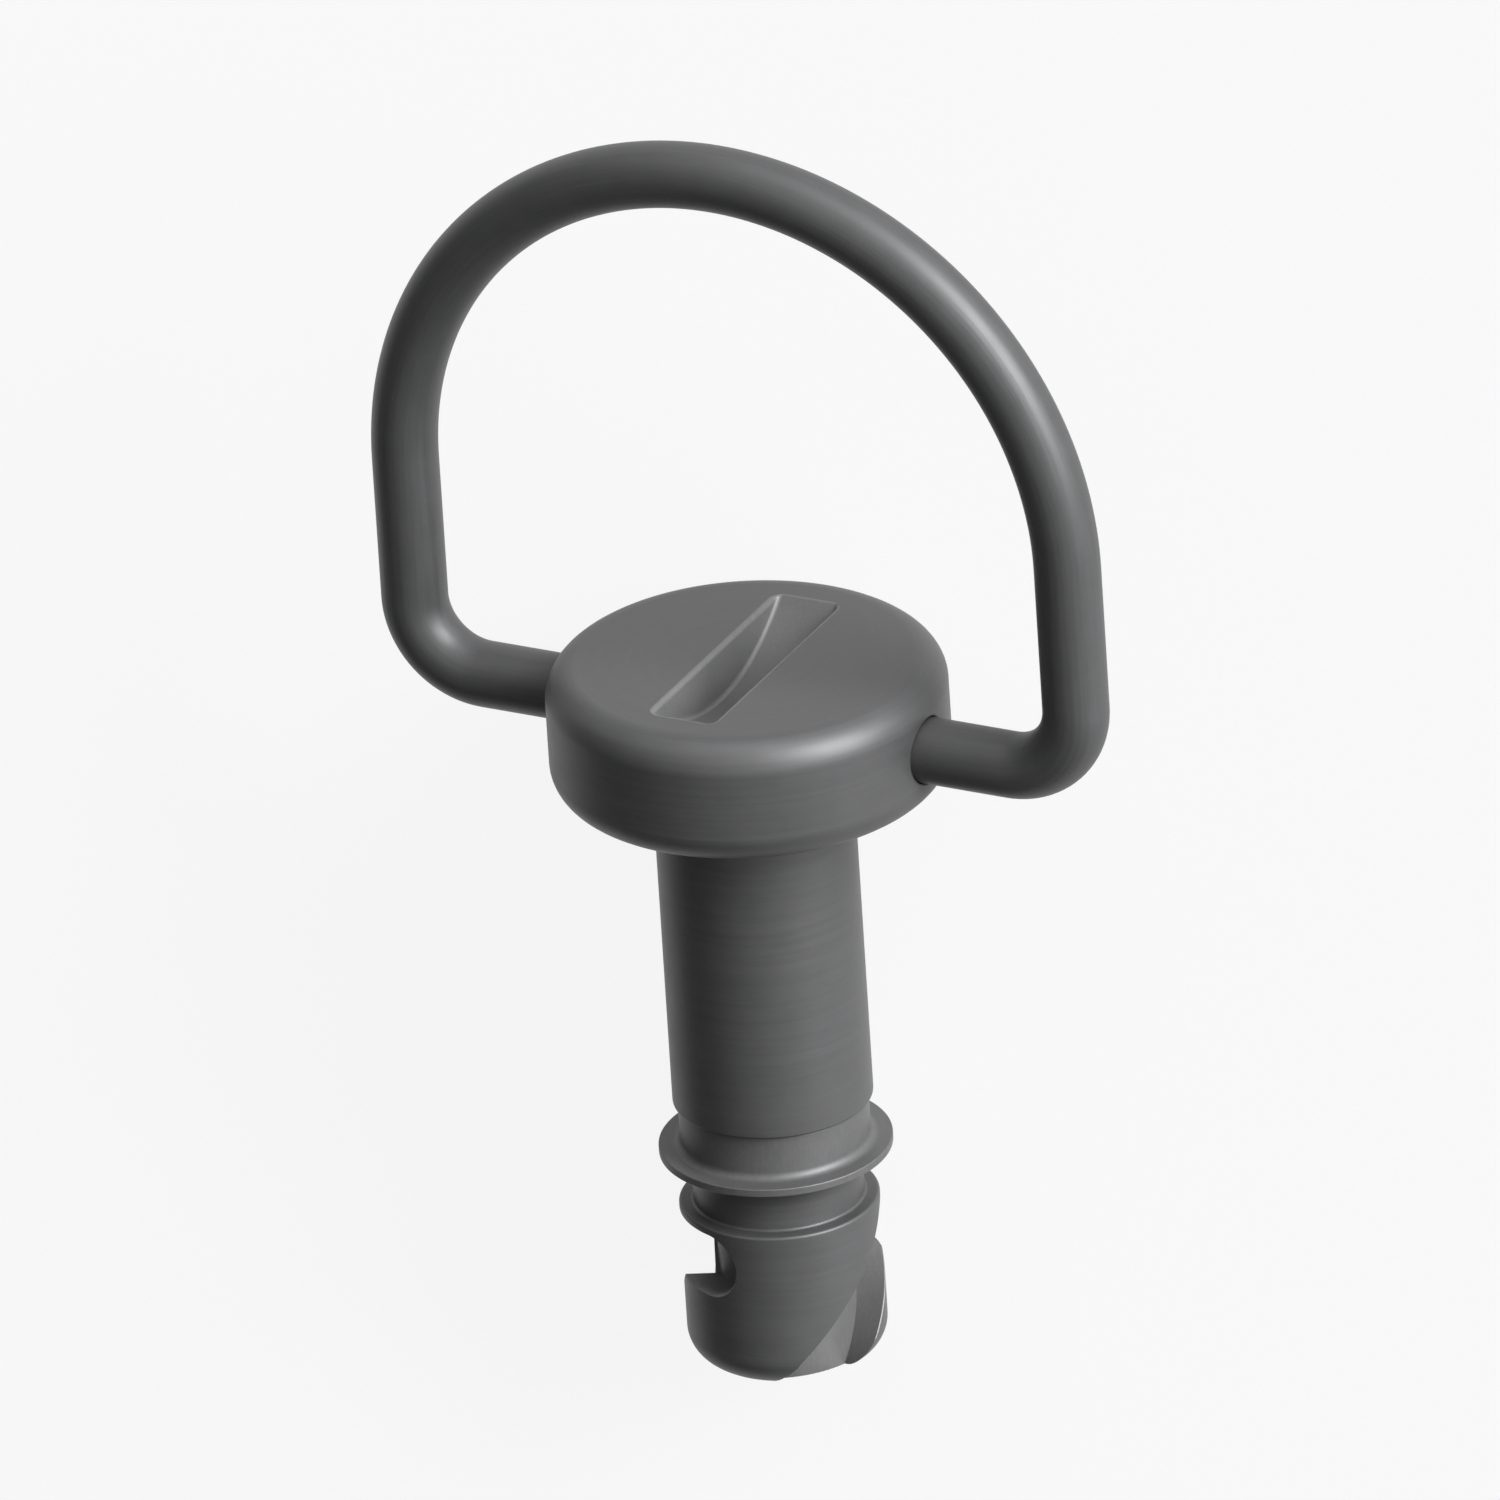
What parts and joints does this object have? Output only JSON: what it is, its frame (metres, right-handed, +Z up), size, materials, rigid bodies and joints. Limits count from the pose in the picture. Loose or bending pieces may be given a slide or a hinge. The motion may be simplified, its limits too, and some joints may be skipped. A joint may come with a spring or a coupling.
{
  "type": "quarter-turn fastener",
  "caption": "Slotted quarter-turn stud with cam grooves, a hinged wire bail handle and a split retaining washer.",
  "frame": {"origin": "middle of the base: on the surface that the loose fastener lies on, under the middle of its box", "axes": "+Z up; +Y along the fastener, from the cam end to the bail; +X along the axis that the bail swings on"},
  "size_m": [0.038, 0.063, 0.0194],
  "materials": {
    "stud_steel": "satin, fine turned marks",
    "wire_steel": "satin, fine drawn marks along the wire",
    "spring_steel": "satin, rolled sheet"
  },
  "bodies": {
    "stud": {"stud": "stud_steel"},
    "bail": {"bail": "wire_steel"},
    "retaining_washer": {"retaining_washer": "spring_steel"}
  },
  "joints": [
    {"name": "bail_swing", "type": "hinge", "parent": "stud", "child": "bail", "pos_m": [0, 0.00191, 0.00968], "axis": [1, 0, 0], "range_deg": [-166, 166]},
    {"name": "washer_spin", "type": "hinge", "parent": "stud", "child": "retaining_washer", "pos_m": [0, -0.01902, 0.00636], "axis": [0, 0.9877, 0.1563], "continuous": true}
  ]
}
